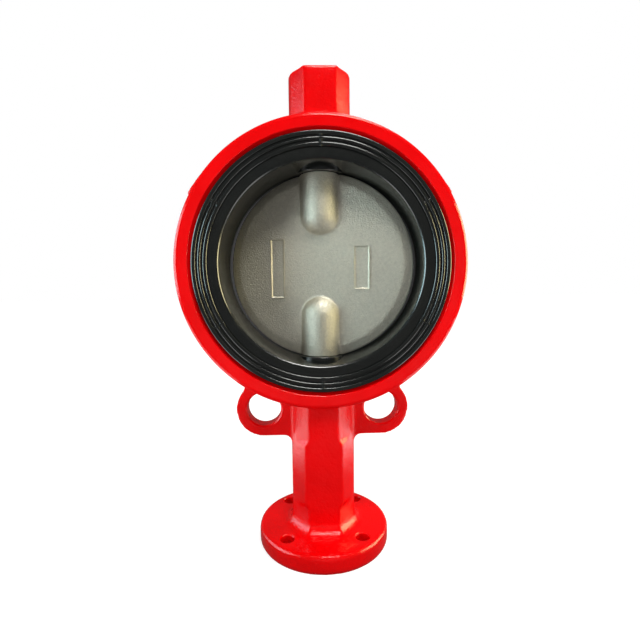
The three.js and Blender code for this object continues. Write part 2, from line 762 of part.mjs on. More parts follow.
function add(name, shape, material, parent = group) {
  const mesh = shape.getMesh();
  const geometry = new THREE.BufferGeometry();
  geometry.setAttribute('position', new THREE.BufferAttribute(mesh.vertProperties, 3));
  geometry.setIndex(new THREE.BufferAttribute(mesh.triVerts, 1));
  geometry.computeVertexNormals();
  const piece = new THREE.Mesh(geometry, material());
  piece.name = name;
  parent.add(piece);
  return piece;
}

add('body', body(), redPaint);
add('seat', seat(), blackRubber);
add('seat_backing_ring', seatBackingRing(), phenolic);

// The disc and both stems turn together, and stand a little open.
const turning = new THREE.Group();
turning.rotation.z = -radians(DISC_OPEN_ANGLE);
group.add(turning);
const discPiece = add('disc', disc(), castSteel, turning);
discPiece.position.z = CENTRE_HEIGHT;
add('drive_stem', driveStem(), turnedSteel, turning);
add('pivot_stem', pivotStem(), turnedSteel, turning);

add('dust_seal', dustSeal(), darkRubber);
add('circlip', circlip(), springSteel);
add('half_ring_left', halfRing(-1), zincSteel);
add('half_ring_right', halfRing(1), zincSteel);
const washerOuter = POCKET_R - GAP;
add('thrust_washer', tube(washerOuter, runningR, washerBottom, washerTop), turnedSteel);
const bushOuter = BUSH_POCKET_R - GAP;
add('outer_bush', tube(bushOuter, runningR, outerBushBottom, outerBushTop), whiteNylon);
const sealOuter = bushOuter + GAP / 2;
add('stem_o_ring_outer', oRing(DRIVE_STEM_R + RUNNING_FIT, sealOuter, oRingOneBottom), darkRubber);
const spacerTop = spacerBottom + SPACER_HEIGHT;
add('o_ring_spacer', tube(bushOuter, runningR, spacerBottom, spacerTop), whiteNylon);
add('stem_o_ring_inner', oRing(DRIVE_STEM_R + RUNNING_FIT, sealOuter, oRingTwoBottom), darkRubber);
add('inner_bush', tube(bushOuter, runningR, innerBushBottom, innerBushTop), whiteNylon);

const pivotBushOuter = PIVOT_POCKET_R - GAP;
const pivotBush = tube(pivotBushOuter, pivotRunningR, pivotBushBottom, pivotBushTop);
add('pivot_bush', pivotBush, whiteNylon);
const pivotSealOuter = pivotBushOuter + GAP / 2;
const pivotSeal = oRing(PIVOT_STEM_R + RUNNING_FIT, pivotSealOuter, pivotORingBottom);
add('pivot_o_ring', pivotSeal, darkRubber);
add('pivot_thrust_washer', rod(pivotBushOuter, pivotWasherBottom, pivotWasherTop - GAP), turnedSteel);
const plugSealOuter = PLUG_R - GAP;
const plugSeal = oRing(plugSealOuter - O_RING_HEIGHT, plugSealOuter, plugSealBottom);
add('plug_seal', plugSeal, darkRubber);
add('stub_plug', stubPlug(), zincSteel);

export default group;
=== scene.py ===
# %% [markdown]
# # A wafer butterfly valve
# The valve stands upside down on its actuator flange. A red iron casting holds a ribbed rubber
# seat, and a cast steel disc turns in the seat on two stems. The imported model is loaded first:
# it says where every piece is and how the disc turns, so nothing here is measured again.

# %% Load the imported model
import bmesh
import bpy
import json
import math
from mathutils import Matrix, Vector


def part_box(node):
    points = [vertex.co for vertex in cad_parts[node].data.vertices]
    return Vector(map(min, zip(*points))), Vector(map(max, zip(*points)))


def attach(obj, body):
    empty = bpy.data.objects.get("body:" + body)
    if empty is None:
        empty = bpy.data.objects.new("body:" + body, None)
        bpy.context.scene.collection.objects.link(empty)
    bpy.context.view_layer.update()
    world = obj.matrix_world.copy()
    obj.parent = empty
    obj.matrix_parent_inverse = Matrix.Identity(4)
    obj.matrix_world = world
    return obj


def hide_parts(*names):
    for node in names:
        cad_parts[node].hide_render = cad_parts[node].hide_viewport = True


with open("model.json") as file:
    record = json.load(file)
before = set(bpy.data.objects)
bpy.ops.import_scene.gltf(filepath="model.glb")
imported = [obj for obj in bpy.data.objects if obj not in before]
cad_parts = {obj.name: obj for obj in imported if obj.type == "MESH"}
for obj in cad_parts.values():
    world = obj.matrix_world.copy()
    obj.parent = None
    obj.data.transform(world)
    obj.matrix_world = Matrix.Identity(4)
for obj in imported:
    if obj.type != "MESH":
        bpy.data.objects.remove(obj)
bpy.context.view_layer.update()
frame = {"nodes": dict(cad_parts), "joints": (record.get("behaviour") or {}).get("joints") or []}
nodes = frame["nodes"]
print("pieces in the model:", len(nodes))

# %% [markdown]
# ## Units and places
# The real drawing is in millimetres, so the pieces are drawn in millimetres too and brought down
# to metres when they are finished. The bore's centre and the disc's angle come from the model.

# %% Measures shared by every piece
MM = 0.001
ring_low, ring_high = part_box("seat")
CENTRE = round((ring_low.z + ring_high.z) / 2 / MM, 2)
STUB_END = round(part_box("body")[1].z / MM, 2)
OPEN_ANGLE = math.radians(frame["joints"][0]["range_deg"][0])
bore_axis = Matrix.Translation((0, 0, CENTRE))
print("bore centre", CENTRE, "mm up, stub ends at", STUB_END, "mm")

# %% [markdown]
# ## Shaping helpers
# Nearly everything on a valve is either turned about an axis or cut from a flat outline. A lathe
# helper spins an outline with the spin operator, and a plate helper extrudes a face. Shapes are
# then fused and cut with booleans, as a foundry joins a pattern and a machine shop cuts it.
# A turned outline is a list of pairs, a radius and a place along the axis. A plate's outline is a
# list of pairs too, seen from the front or from the top.


# %% Turn an outline about an axis
def turned(outline, axis="Y", steps=192):
    form = bmesh.new()
    if axis == "Y":
        corners = [form.verts.new((r, along, 0)) for r, along in outline]
    else:
        corners = [form.verts.new((r, 0, along)) for r, along in outline]
    for here, there in zip(corners, corners[1:] + corners[:1]):
        form.edges.new((here, there))
    line = Vector((0, 1, 0)) if axis == "Y" else Vector((0, 0, 1))
    bmesh.ops.spin(form, geom=form.verts[:] + form.edges[:], cent=(0, 0, 0), axis=line,
                   angle=2 * math.pi, steps=steps, use_merge=True)
    bmesh.ops.remove_doubles(form, verts=form.verts, dist=1e-4)
    bmesh.ops.dissolve_degenerate(form, edges=form.edges, dist=1e-5)
    bmesh.ops.recalc_face_normals(form, faces=form.faces)
    if axis == "Y":
        bmesh.ops.transform(form, matrix=bore_axis, verts=form.verts)
    return form


# %% Extrude an outline into a plate
def plate(outline, thickness, facing="front"):
    form = bmesh.new()
    corners = [form.verts.new((x, z, 0)) for x, z in outline]
    sheet = form.faces.new(corners)
    grown = bmesh.ops.extrude_face_region(form, geom=[sheet])
    raised = [g for g in grown["geom"] if isinstance(g, bmesh.types.BMVert)]
    bmesh.ops.translate(form, verts=raised, vec=(0, 0, thickness))
    bmesh.ops.translate(form, verts=form.verts, vec=(0, 0, -thickness / 2))
    if facing == "front":
        upright = Matrix.Rotation(math.radians(90), 4, "X")
        bmesh.ops.transform(form, matrix=upright, verts=form.verts)
    bmesh.ops.recalc_face_normals(form, faces=form.faces)
    return form


# %% Points along an arc
def arc(x, z, radius, start, end, steps=8):
    angles = [math.radians(start + (end - start) * i / steps) for i in range(steps + 1)]
    return [(x + radius * math.cos(a), z + radius * math.sin(a)) for a in angles]


# %% Soften the corners of a shape
def soften(form, size, sharper_than=25, segments=2):
    limit = math.radians(sharper_than)
    edges = [e for e in form.edges if e.is_manifold and e.calc_face_angle(0) > limit]
    bmesh.ops.bevel(form, geom=edges, offset=size, affect="EDGES", segments=segments,
                    profile=0.5, material=-1)
    return form


# %% A square block that stands on the stem's axis
def square_block(side, low, high):
    form = bmesh.new()
    bmesh.ops.create_cube(form, size=1)
    bmesh.ops.scale(form, verts=form.verts, vec=(side, side, high - low))
    bmesh.ops.translate(form, verts=form.verts, vec=(0, 0, (low + high) / 2))
    return form


# %% Mirror a shape along one direction
def mirrored(form, direction):
    bmesh.ops.transform(form, matrix=Matrix.Scale(-1, 4, direction), verts=form.verts)
    bmesh.ops.reverse_faces(form, faces=form.faces)
    return form


# %% Put several shapes into one
def together(*forms):
    whole = bmesh.new()
    for form in forms:
        sheet = bpy.data.meshes.new("part")
        form.to_mesh(sheet)
        form.free()
        whole.from_mesh(sheet)
        bpy.data.meshes.remove(sheet)
    return whole


# %% Make an object from a shape
def as_object(form, name):
    mesh = bpy.data.meshes.new(name)
    form.to_mesh(mesh)
    form.free()
    made = bpy.data.objects.new(name, mesh)
    bpy.context.scene.collection.objects.link(made)
    return made


# %% Make a modifier's result the piece's own mesh
def settle(piece):
    shaped = piece.evaluated_get(bpy.context.evaluated_depsgraph_get())
    mesh = bpy.data.meshes.new_from_object(shaped)
    old = piece.data
    piece.modifiers.clear()
    piece.data = mesh
    bpy.data.meshes.remove(old)


# %% Join an object with other shapes, or cut them out of it
def combine(piece, how, *forms):
    for form in forms:
        tool = as_object(form, "tool")
        step = piece.modifiers.new(how.lower(), "BOOLEAN")
        step.operation = how
        step.solver = "MANIFOLD"
        step.object = tool
        settle(piece)
        old = tool.data
        bpy.data.objects.remove(tool)
        bpy.data.meshes.remove(old)


# %% [markdown]
# ## Finishing a piece
# A drawn piece is in millimetres and has no finish yet. It is brought down to metres, painted,
# and shaded smooth except where its faces meet at a sharp angle. The Weighted Normal modifier
# keeps the large flat faces even. Then the piece is tied to the body that carries it, and takes
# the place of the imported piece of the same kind.


# %% Hand a finished piece to the frame
def finish_piece(piece, body, replaces, finishes, crease=32):
    mesh = piece.data
    mesh.transform(Matrix.Scale(MM, 4))
    mesh.materials.clear()
    for finish in finishes:
        mesh.materials.append(finish)
    for face in mesh.polygons:
        face.use_smooth = True
    mesh.set_sharp_from_angle(angle=math.radians(crease))
    even = piece.modifiers.new("even shading", "WEIGHTED_NORMAL")
    even.keep_sharp = True
    settle(piece)
    mesh = piece.data
    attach(piece, body)
    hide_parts(*replaces)
    mesh.calc_loop_triangles()
    print(piece.name, "has", len(mesh.loop_triangles), "triangles")


# %% [markdown]
# ## Finishes
# Each finish is one Principled shader fed by noise. The colour drifts a little, the roughness
# wanders, and a bump gives the grain. The bumps are small: the real shapes come from the meshes.


# %% Start a finish
class Finish:
    def __init__(self, name, **sockets):
        self.made = bpy.data.materials.new(name)
        self.made.use_nodes = True
        self.tree = self.made.node_tree
        self.shader = self.tree.nodes["Principled BSDF"]
        for socket, value in sockets.items():
            self.shader.inputs[socket.replace("_", " ")].default_value = value
        self.place = self.tree.nodes.new("ShaderNodeTexCoord")

    def noise(self, scale, detail=4, roughness=0.55, stretch=None):
        texture = self.tree.nodes.new("ShaderNodeTexNoise")
        texture.inputs["Scale"].default_value = scale
        texture.inputs["Detail"].default_value = detail
        texture.inputs["Roughness"].default_value = roughness
        where = self.place.outputs["Object"]
        if stretch:
            mapping = self.tree.nodes.new("ShaderNodeMapping")
            mapping.inputs["Scale"].default_value = stretch
            self.tree.links.new(where, mapping.inputs["Vector"])
            where = mapping.outputs["Vector"]
        self.tree.links.new(where, texture.inputs["Vector"])
        return texture.outputs["Fac"]

    def ramp(self, source, dark, light, low=0.3, high=0.7):
        ramp = self.tree.nodes.new("ShaderNodeValToRGB")
        ramp.color_ramp.elements[0].position = low
        ramp.color_ramp.elements[0].color = (*dark, 1)
        ramp.color_ramp.elements[1].position = high
        ramp.color_ramp.elements[1].color = (*light, 1)
        self.tree.links.new(source, ramp.inputs["Fac"])
        return ramp.outputs["Color"]

    def colour(self, source, dark, light):
        tint = self.ramp(source, dark, light)
        self.tree.links.new(tint, self.shader.inputs["Base Color"])

    def gloss(self, source, low, high):
        spread = self.tree.nodes.new("ShaderNodeMapRange")
        spread.inputs["From Min"].default_value = 0.3
        spread.inputs["From Max"].default_value = 0.7
        spread.inputs["To Min"].default_value = low
        spread.inputs["To Max"].default_value = high
        self.tree.links.new(source, spread.inputs["Value"])
        self.tree.links.new(spread.outputs["Result"], self.shader.inputs["Roughness"])

    def bump(self, *layers):
        last = None
        for height, depth, strength in layers:
            bump = self.tree.nodes.new("ShaderNodeBump")
            bump.inputs["Distance"].default_value = depth
            bump.inputs["Strength"].default_value = strength
            self.tree.links.new(height, bump.inputs["Height"])
            if last:
                self.tree.links.new(last, bump.inputs["Normal"])
            last = bump.outputs["Normal"]
        self.tree.links.new(last, self.shader.inputs["Normal"])


# %% [markdown]
# ### Red epoxy over iron
# The casting is dipped or sprayed with thick glossy epoxy. It levels out on the machined faces and
# leaves only a faint orange peel. On the cast skin it follows the sand's roughness, so highlights
# break up there. Two finishes share one colour.


# %% Epoxy on machined faces and on the cast skin
def epoxy(name, skin_depth, skin_strength, grain_strength):
    finish = Finish(name, Specular_IOR_Level=0.3)
    finish.colour(finish.noise(28, 3), (0.82, 0.0002, 0.001), (0.95, 0.0004, 0.002))
    finish.gloss(finish.noise(90, 4), 0.10, 0.18)
    skin = finish.noise(260, 4, 0.6)
    grain = finish.noise(850, 2, 0.5)
    finish.bump((skin, skin_depth, skin_strength), (grain, 0.0005, grain_strength))
    return finish.made


smooth_epoxy = epoxy("epoxy on machined iron", 0.0006, 0.08, 0.06)
cast_epoxy = epoxy("epoxy on cast iron", 0.0010, 0.2, 0.45)
print("red finishes:", smooth_epoxy.name, "and", cast_epoxy.name)

# %% [markdown]
# ### Moulded rubber
# The seat is black rubber from a polished mould, with a soft sheen. A little bloom lightens it
# unevenly. The small seals are the same rubber, duller.


# %% Rubber for the seat and for the seals
def rubber(name, dark, light, roughest):
    finish = Finish(name, Specular_IOR_Level=1.0)
    finish.colour(finish.noise(60, 5), dark, light)
    finish.gloss(finish.noise(180, 4), roughest - 0.08, roughest)
    finish.bump((finish.noise(900, 3), 0.0002, 0.12))
    return finish.made


seat_rubber = rubber("seat rubber", (0.003, 0.004, 0.0035), (0.006, 0.007, 0.006), 0.25)
seal_rubber = rubber("seal rubber", (0.01, 0.01, 0.01), (0.02, 0.02, 0.02), 0.62)
print("rubbers:", seat_rubber.name, "and", seal_rubber.name)

# %% [markdown]
# ### Metals
# The disc is cast stainless steel, blasted with fine shot, so it is evenly grainy and its
# reflections are broad. The stems are turned bright, and the small steel pieces are zinc plated or
# blackened. Turned pieces carry a fine scratch round their axis, which a stretched noise gives.


# %% Metal finishes
def metal(name, dark, light, smoothest, roughest, grain, depth, strength, stretch=None,
          metallic=1.0, mottle=(45, 5, 0.6)):
    finish = Finish(name, Metallic=metallic)
    finish.colour(finish.noise(*mottle), dark, light)
    finish.gloss(finish.noise(260, 4), smoothest, roughest)
    finish.bump((finish.noise(grain, 3, 0.6, stretch), depth, strength))
    return finish.made


cast_steel = metal("blasted cast steel", (0.58, 0.55, 0.455), (0.72, 0.685, 0.575),
                   0.38, 0.50, 1100, 0.0008, 0.6, metallic=0.86, mottle=(520, 4, 0.75))
turned_steel = metal("turned steel", (0.55, 0.55, 0.54), (0.66, 0.66, 0.65),
                     0.2, 0.32, 120, 0.0002, 0.2, (1, 1, 25))
zinc_steel = metal("zinc plated steel", (0.48, 0.5, 0.47), (0.6, 0.6, 0.56),
                   0.28, 0.42, 700, 0.0002, 0.15)
spring_steel = metal("blackened spring steel", (0.1, 0.1, 0.11), (0.17, 0.17, 0.18),
                     0.35, 0.5, 800, 0.0002, 0.15)
print("metals:", cast_steel.name, turned_steel.name, zinc_steel.name, spring_steel.name)


# %% [markdown]
# ### Plastics
# The bushes are nylon, pale and a little waxy, and the ring behind the rubber is brown phenolic.
# They are hidden in the finished valve, but they show when it is taken apart, so they get their
# own colours.


# %% Plastics for the bushes and the backing ring
def plastic(name, dark, light, roughest, grain):
    finish = Finish(name, Specular_IOR_Level=0.5)
    finish.colour(finish.noise(70, 4), dark, light)
    finish.gloss(finish.noise(200, 3), roughest - 0.12, roughest)
    finish.bump((finish.noise(grain, 3), 0.0002, 0.15))
    return finish.made


nylon = plastic("nylon", (0.72, 0.69, 0.6), (0.84, 0.81, 0.73), 0.5, 500)
phenolic = plastic("phenolic", (0.06, 0.028, 0.014), (0.12, 0.055, 0.028), 0.6, 300)
print("plastics:", nylon.name, phenolic.name)

# %% [markdown]
# ## The casting
# Ring, stub, neck, lugs and flange are one iron casting. Its skin comes out of sand, so every
# inside corner is a fillet and every outside corner is blunt. The pattern is therefore put
# together roughly, remeshed with small voxels and smoothed. Only then are the turned surfaces
# added and cut, sharp, as they are on the real casting.

# %% Sizes of the casting
RING_R = 92
RING_FACE = 27
RING_BORE = 81
BURIED_R = 86  # lugs and fillets are rooted this deep in the ring
SHOULDER = (18.8, 9.8)
FLAT_HALF = 9.9
FLAT_DEPTH = 20.5
NECK_SIDE = 21.5
NECK_FILLET = 5
STUB_SIDE = 20
STUB_FOOT = 262
STUB_FILLET = 4
FLANGE_R = 45
FLANGE_TOP = 12
FLANGE_BOLT_RING = 35
BOLT_RING = 105
LUG_TURN = math.radians(22.5)
LUG_R = 18.7
LUG_DROP = 23.7  # from the eye's centre to the lug's lower edge
LUG_FILLET = 9
LUG_THICKNESS = 12
lug_x = BOLT_RING * math.sin(LUG_TURN)
lug_z = CENTRE - BOLT_RING * math.cos(LUG_TURN)
print("lug eyes at", round(lug_x, 1), round(lug_z, 1))


# %% [markdown]
# ### The neck and the stub
# Both are the same twelve-sided bar, with a broad flat in front and behind and facets between. An
# extruded outline makes the bar. The neck's flats widen along its middle, so the bar is sliced at
# four heights and the corners between are moved outwards. At the foot, a few short bars of
# growing width turn into a fillet when the skin is smoothed.


# %% The twelve-sided column of the neck and the stub
def column(low, high, side=NECK_SIDE, grow=1.0):
    right = [(FLAT_HALF, -FLAT_DEPTH), (SHOULDER[0], -SHOULDER[1]), (side, -5),
             (side, 5), SHOULDER, (FLAT_HALF, FLAT_DEPTH)]
    left = [(-x, y) for x, y in reversed(right)]
    form = plate([(x * grow, y * grow) for x, y in right + left], high - low, "top")
    bmesh.ops.translate(form, verts=form.verts, vec=(0, 0, (low + high) / 2))
    return form


stub = column(STUB_FOOT, STUB_END, STUB_SIDE)
print("stub:", len(stub.faces), "faces")


# %% The neck's flats are wider along its middle
FLAT_GROWTH = 2.6
GROWTH_HEIGHTS = (29, 32, 72, 75)


def neck():
    form = column(6, 103)
    for height in GROWTH_HEIGHTS:
        everything = form.verts[:] + form.edges[:] + form.faces[:]
        bmesh.ops.bisect_plane(form, geom=everything, plane_co=(0, 0, height),
                               plane_no=(0, 0, 1))
    for corner in form.verts:
        wide_part = GROWTH_HEIGHTS[1] - 1 < corner.co.z < GROWTH_HEIGHTS[2] + 1
        if wide_part and abs(corner.co.y) > FLAT_DEPTH - 1:
            corner.co.x += math.copysign(FLAT_GROWTH, corner.co.x)
    return form


neck_bar = neck()
print("neck:", len(neck_bar.verts), "corners")


# %% The neck's foot spreads into the flange
def neck_foot():
    feet = []
    for low, high, spread in ((10, 12.5, 1.2), (12.5, 13.4, 1.13), (13.4, 14.6, 1.07),
                              (14.6, 16.6, 1.03)):
        feet.append(column(low, high, grow=spread))
    return feet


foot_bars = neck_foot()
print("neck's foot:", len(foot_bars), "short bars")

# %% [markdown]
# ### Lugs, fillets and pads
# Two of the pipe's bolts pass through the lugs and keep the valve centred between the pipe
# flanges. A lug's outline is two arcs that touch: the rim round the eye, and a hollow fillet up
# to the ring. The fillet's centre lies where two circles cross, and the cosine rule finds it.
# The fillets at the stub are found in the same way. The pads on the rim are where a foundry
# puts its marks. They are blank here.


# %% Lugs, with a fillet up to the ring and another into the neck
def lug(side):
    to_ring = RING_R + LUG_FILLET
    to_eye = LUG_R + LUG_FILLET
    spread = math.acos((to_ring**2 + BOLT_RING**2 - to_eye**2) / (2 * to_ring * BOLT_RING))
    towards = LUG_TURN - math.pi / 2 + spread
    hollow = (to_ring * math.cos(towards), CENTRE + to_ring * math.sin(towards))
    seen = math.degrees(math.atan2(lug_z - hollow[1], lug_x - hollow[0]))
    root = (BURIED_R * math.cos(towards), CENTRE + BURIED_R * math.sin(towards))
    outline = [(0, CENTRE - BURIED_R), root]
    outline += arc(*hollow, LUG_FILLET, math.degrees(towards) + 180, seen + 360, 8)
    outline += arc(lug_x, lug_z, LUG_R, seen + 180, -90, 22)
    outline += arc(NECK_SIDE + NECK_FILLET, lug_z - LUG_DROP, NECK_FILLET, 90, 180, 6)
    outline += [(0, lug_z - LUG_DROP)]
    form = plate(outline, LUG_THICKNESS)
    return mirrored(form, (1, 0, 0)) if side < 0 else form


lugs = [lug(1), lug(-1)]
print("lugs:", len(lugs), "with", len(lugs[0].verts), "corners each")


# %% Fillets where the stub leaves the ring
def stub_fillets():
    across = STUB_SIDE + STUB_FILLET
    height = math.sqrt((RING_R + STUB_FILLET) ** 2 - across**2)
    lean = math.degrees(math.atan2(height, across))
    root = (BURIED_R * math.cos(math.radians(lean)),
            CENTRE + BURIED_R * math.sin(math.radians(lean)))
    right = [root] + arc(across, CENTRE + height, STUB_FILLET, 180 + lean, 180, 8)
    left = [(-x, z) for x, z in reversed(right)]
    return plate(right + left, 2 * SHOULDER[1])


stub_root = stub_fillets()
print("stub's root:", len(stub_root.verts), "corners")


# %% Pads on the rim: each rises from the ring and ends in a step
PAD_LOW, PAD_HIGH = 28, 60
PAD_RISE = 3
PAD_ROOT_R = 88
PAD_WIDTH = 40


def rim_pad(side, steps=16):
    outside, inside = [], []
    for i in range(steps + 1):
        angle = math.radians(PAD_LOW + (PAD_HIGH - PAD_LOW) * i / steps)
        radius = RING_R + PAD_RISE * (1 - i / steps)
        outside.append((side * radius * math.cos(angle), CENTRE + radius * math.sin(angle)))
        inside.insert(0, (side * PAD_ROOT_R * math.cos(angle),
                          CENTRE + PAD_ROOT_R * math.sin(angle)))
    return plate(outside + inside, PAD_WIDTH)


pads = [rim_pad(1), rim_pad(-1)]
print("rim pads:", len(pads), "from", PAD_LOW, "to", PAD_HIGH, "degrees")


# %% The flange and the inside of the ring, before they are machined
def rough_flange():
    rim, edge_r = FLANGE_R - 0.2, 2.6
    edge = arc(rim - edge_r, FLANGE_TOP - edge_r, edge_r, 0, 90, 6)
    return turned([(0, -1), (rim - 1.2, -1), (rim - 1.2, 0), (rim, 1.4)] + edge
                  + [(0, FLANGE_TOP)], "Z", 128)


def rough_ring():
    return turned([(RING_BORE + 2, -26.4), (88.4, -26.4), (91.8, -23), (91.8, 23), (88.4, 26.4),
                   (RING_BORE + 2, 26.4)])


flange, inner_ring = rough_flange(), rough_ring()
print("flange:", len(flange.faces), "faces, ring:", len(inner_ring.faces), "faces")

# %% [markdown]
# ### The cast skin
# A sand casting has no sharp corner. Where so many shapes meet, bevelling each edge would be slow
# and would fail at the crossings, so the shapes are laid over each other and wrapped in one go.
# The Remesh modifier covers them with small voxels, and Smooth rounds every corner. A weak
# Displace, driven by a cloud texture, leaves the slight waves of the mould.


# %% A cast skin: small voxels, then a few rounds of smoothing
def give_cast_skin(pattern, voxel_size, rounds):
    voxels = pattern.modifiers.new("sand", "REMESH")
    voxels.mode = "VOXEL"
    voxels.voxel_size = voxel_size * 1
    skin = pattern.modifiers.new("skin", "SMOOTH")
    skin.factor = 0.5
    skin.iterations = rounds


# %% Put the pattern together, remesh it and smooth its skin
casting = as_object(together(neck_bar, *foot_bars, *lugs, stub, stub_root, *pads, flange,
                             inner_ring), "casting")
give_cast_skin(casting, 1.15, 3)
sand = bpy.data.textures.new("sand grain", "CLOUDS")
sand.noise_scale = 7
waviness = casting.modifiers.new("waviness", "DISPLACE")
waviness.texture = sand
waviness.texture_coords = "LOCAL"
waviness.strength = 0.18
waviness.mid_level = 0.5
settle(casting)
print("cast skin:", len(casting.data.polygons), "faces")

# %% [markdown]
# ### Machining the casting
# The ring's faces, its rim and its bore are turned, so they are added as a clean spun shape that
# just covers the cast one. The stem's passage, the lug eyes, the bolt holes and the two end faces
# are cut with turned tools whose mouths are slightly flared, which leaves a small chamfer.


# %% The turned ring
def turned_ring():
    edge_r = 3
    mouth = [(RING_BORE + 2.3, RING_FACE), (RING_BORE + 2, RING_FACE - 0.2), (RING_BORE, 24)]
    front_mouth = [(r, -along) for r, along in reversed(mouth)]
    front = arc(RING_R - edge_r, -RING_FACE + edge_r, edge_r, -90, 0, 8)
    back = arc(RING_R - edge_r, RING_FACE - edge_r, edge_r, 0, 90, 8)
    return turned(front_mouth + front + back + mouth, steps=256)


def ring_core():
    return turned([(0, -40), (RING_BORE + 1, -40), (RING_BORE + 1, 40), (0, 40)], steps=256)


machined_ring = turned_ring()
print("turned ring:", len(machined_ring.faces), "faces")


# %% Tools for the stem's passage
def neck_bore():
    return turned([(0, -1), (28.5, -1), (27.5, 0), (27.5, 3.5), (15.6, 3.5), (15, 4.1),
                   (15, 21.4), (16.6, 21.4), (16.6, 23.4), (15, 23.4), (15, 28.5),
                   (12, 28.5), (12, 58), (10.2, 58), (10.2, 87.8), (12, 87.8),
                   (12, CENTRE), (0, CENTRE)], "Z", 96)


def stub_bore():
    return turned([(0, CENTRE), (8.6, CENTRE), (8.6, 275.1), (10.5, 275.1), (10.5, 298.2),
                   (12, 298.2), (12, STUB_END - 0.7), (12.9, STUB_END + 0.2),
                   (12.9, STUB_END + 4), (0, STUB_END + 4)], "Z", 96)


passages = [neck_bore(), stub_bore()]
print("passage tools:", len(passages))


# %% Tools for the lugs' eyes and the flange's holes
def eye(side):
    form = turned([(0, -12), (13.2, -12), (13.2, -6.2), (12.2, -5.7), (11.6, -5),
                   (11.5, -4), (11.5, 4), (11.6, 5), (12.2, 5.7), (13.2, 6.2), (13.2, 12),
                   (0, 12)], steps=64)
    bmesh.ops.translate(form, verts=form.verts, vec=(side * lug_x, 0, lug_z - CENTRE))
    return form


def bolt_hole(turn):
    form = turned([(0, -2), (5.6, -2), (4.5, 0.4), (4.5, 11.4), (5.2, 12.2), (5.2, 18),
                   (0, 18)], "Z", 40)
    place = Vector((math.cos(turn), math.sin(turn), 0)) * FLANGE_BOLT_RING
    bmesh.ops.translate(form, verts=form.verts, vec=place)
    return form


holes = [eye(1), eye(-1), *[bolt_hole(math.radians(a)) for a in (45, 135, 225, 315)]]
print("hole tools:", len(holes))

# %% Cut the casting
SAW = 150  # wider than anything it cuts off

combine(casting, "DIFFERENCE", ring_core())
combine(casting, "UNION", machined_ring)
combine(casting, "DIFFERENCE", *passages, *holes, square_block(SAW, -20, 0),
        square_block(SAW, STUB_END, STUB_END + 20))
print("machined casting:", len(casting.data.polygons), "faces")

# %% [markdown]
# ### Two finishes on one casting
# The same epoxy lies smoother on a machined face than on cast skin. Each face of the mesh is
# given one of the two finishes by its place: the turned ring and the two end faces are machined,
# and the rest is cast.

# %% Tell the machined faces from the cast skin
finish_piece(casting, "valve_body", ["body"], [cast_epoxy, smooth_epoxy])
for face in casting.data.polygons:
    spot = face.center / MM
    from_axis = math.hypot(spot.x, spot.z - CENTRE)
    turned_face = from_axis < RING_R + 0.05 and abs(spot.y) < RING_FACE + 0.05
    end_face = spot.z < 0.05 or spot.z > STUB_END - 0.05
    face.material_index = 1 if turned_face or end_face else 0
print("machined faces:", sum(face.material_index for face in casting.data.polygons))

# %% [markdown]
# ## The seat
# The rubber liner is moulded, so all its corners are round. It is spun from one section: three
# flat ribs on each face, a recessed band, a rolled lip, and a wall that slopes in to the land that
# the disc seals on. Six short bars tie the ribs together, and a round flat in the bore carries
# each hub.

# %% Section of the seat
SEAT_FACE = 28
SEAT_R = 80.7
LAND_R = 62.1
GROOVE = 26.8
EASE = 0.9
LIP = 2.45
ribs = [(79.9, 77.8), (76.8, 74.7), (73.6, 70.9)]


def seat_section():
    half = [(73.9, 20.5), (SEAT_R, 20.5), (SEAT_R, SEAT_FACE - 1)]
    half += arc(SEAT_R - EASE, SEAT_FACE - EASE, EASE, 0, 90, 4)
    for outer, inner in ribs:
        if outer != ribs[0][0]:
            half += [(outer, GROOVE)] + arc(outer - EASE, SEAT_FACE - EASE, EASE, 0, 90, 4)
        half += arc(inner + EASE, SEAT_FACE - EASE, EASE, 90, 180, 4) + [(inner, GROOVE)]
    half += [(70.3, 26.95), (67.2, 26.95)]
    half += arc(66.2, 24.5, LIP, 80, 180, 8)
    half += [(LAND_R, 9)]
    back = [(r, -y) for r, y in reversed(half)]
    return half + back


section = seat_section()
print("seat section:", len(section), "points")

# %% [markdown]
# ### Bars, flats and holes of the seat
# A bar is a small block with softened edges, turned about the bore's axis to each of its six
# places on both faces. A hub flat is a short turned pad that fills the bore's curve, so that the
# hub's end has a level face to slide on. Both are joined to the spun liner, and then a plain rod
# cuts a hole for each stem.


# %% Bars across the ribs, flats for the hubs, and holes for the stems
def tie_bar(side, turn):
    form = bmesh.new()
    bmesh.ops.create_cube(form, size=1)
    bmesh.ops.scale(form, verts=form.verts, vec=(9.4, 1.6, 1.5))
    soften(form, 0.5, segments=4)
    at = Vector((75.4, side * 27.2, 0))
    bmesh.ops.translate(form, verts=form.verts, vec=at)
    bmesh.ops.rotate(form, cent=(0, 0, 0), verts=form.verts,
                     matrix=Matrix.Rotation(turn, 3, "Y"))
    bmesh.ops.transform(form, matrix=bore_axis, verts=form.verts)
    return form


def hub_flat(side):
    near, far = CENTRE + side * 60.1, CENTRE + side * 71
    return turned([(0, near), (16.5, near), (16.85, near + side * 0.15),
                   (17, near + side * 0.5), (17, far), (0, far)], "Z", 96)


def rod(radius, low, high, steps=64):
    return turned([(0, low), (radius, low), (radius, high), (0, high)], "Z", steps)


bars = [tie_bar(side, math.radians(30 + 60 * i)) for side in (-1, 1) for i in range(6)]
print("tie bars:", len(bars))

# %% Mould the seat
seat = as_object(turned(section, steps=256), "seat_liner")
combine(seat, "UNION", hub_flat(1), hub_flat(-1), *bars)
combine(seat, "DIFFERENCE", rod(9.62, 90, CENTRE), rod(8.12, CENTRE, 290))
finish_piece(seat, "valve_body", ["seat"], [seat_rubber], crease=50)

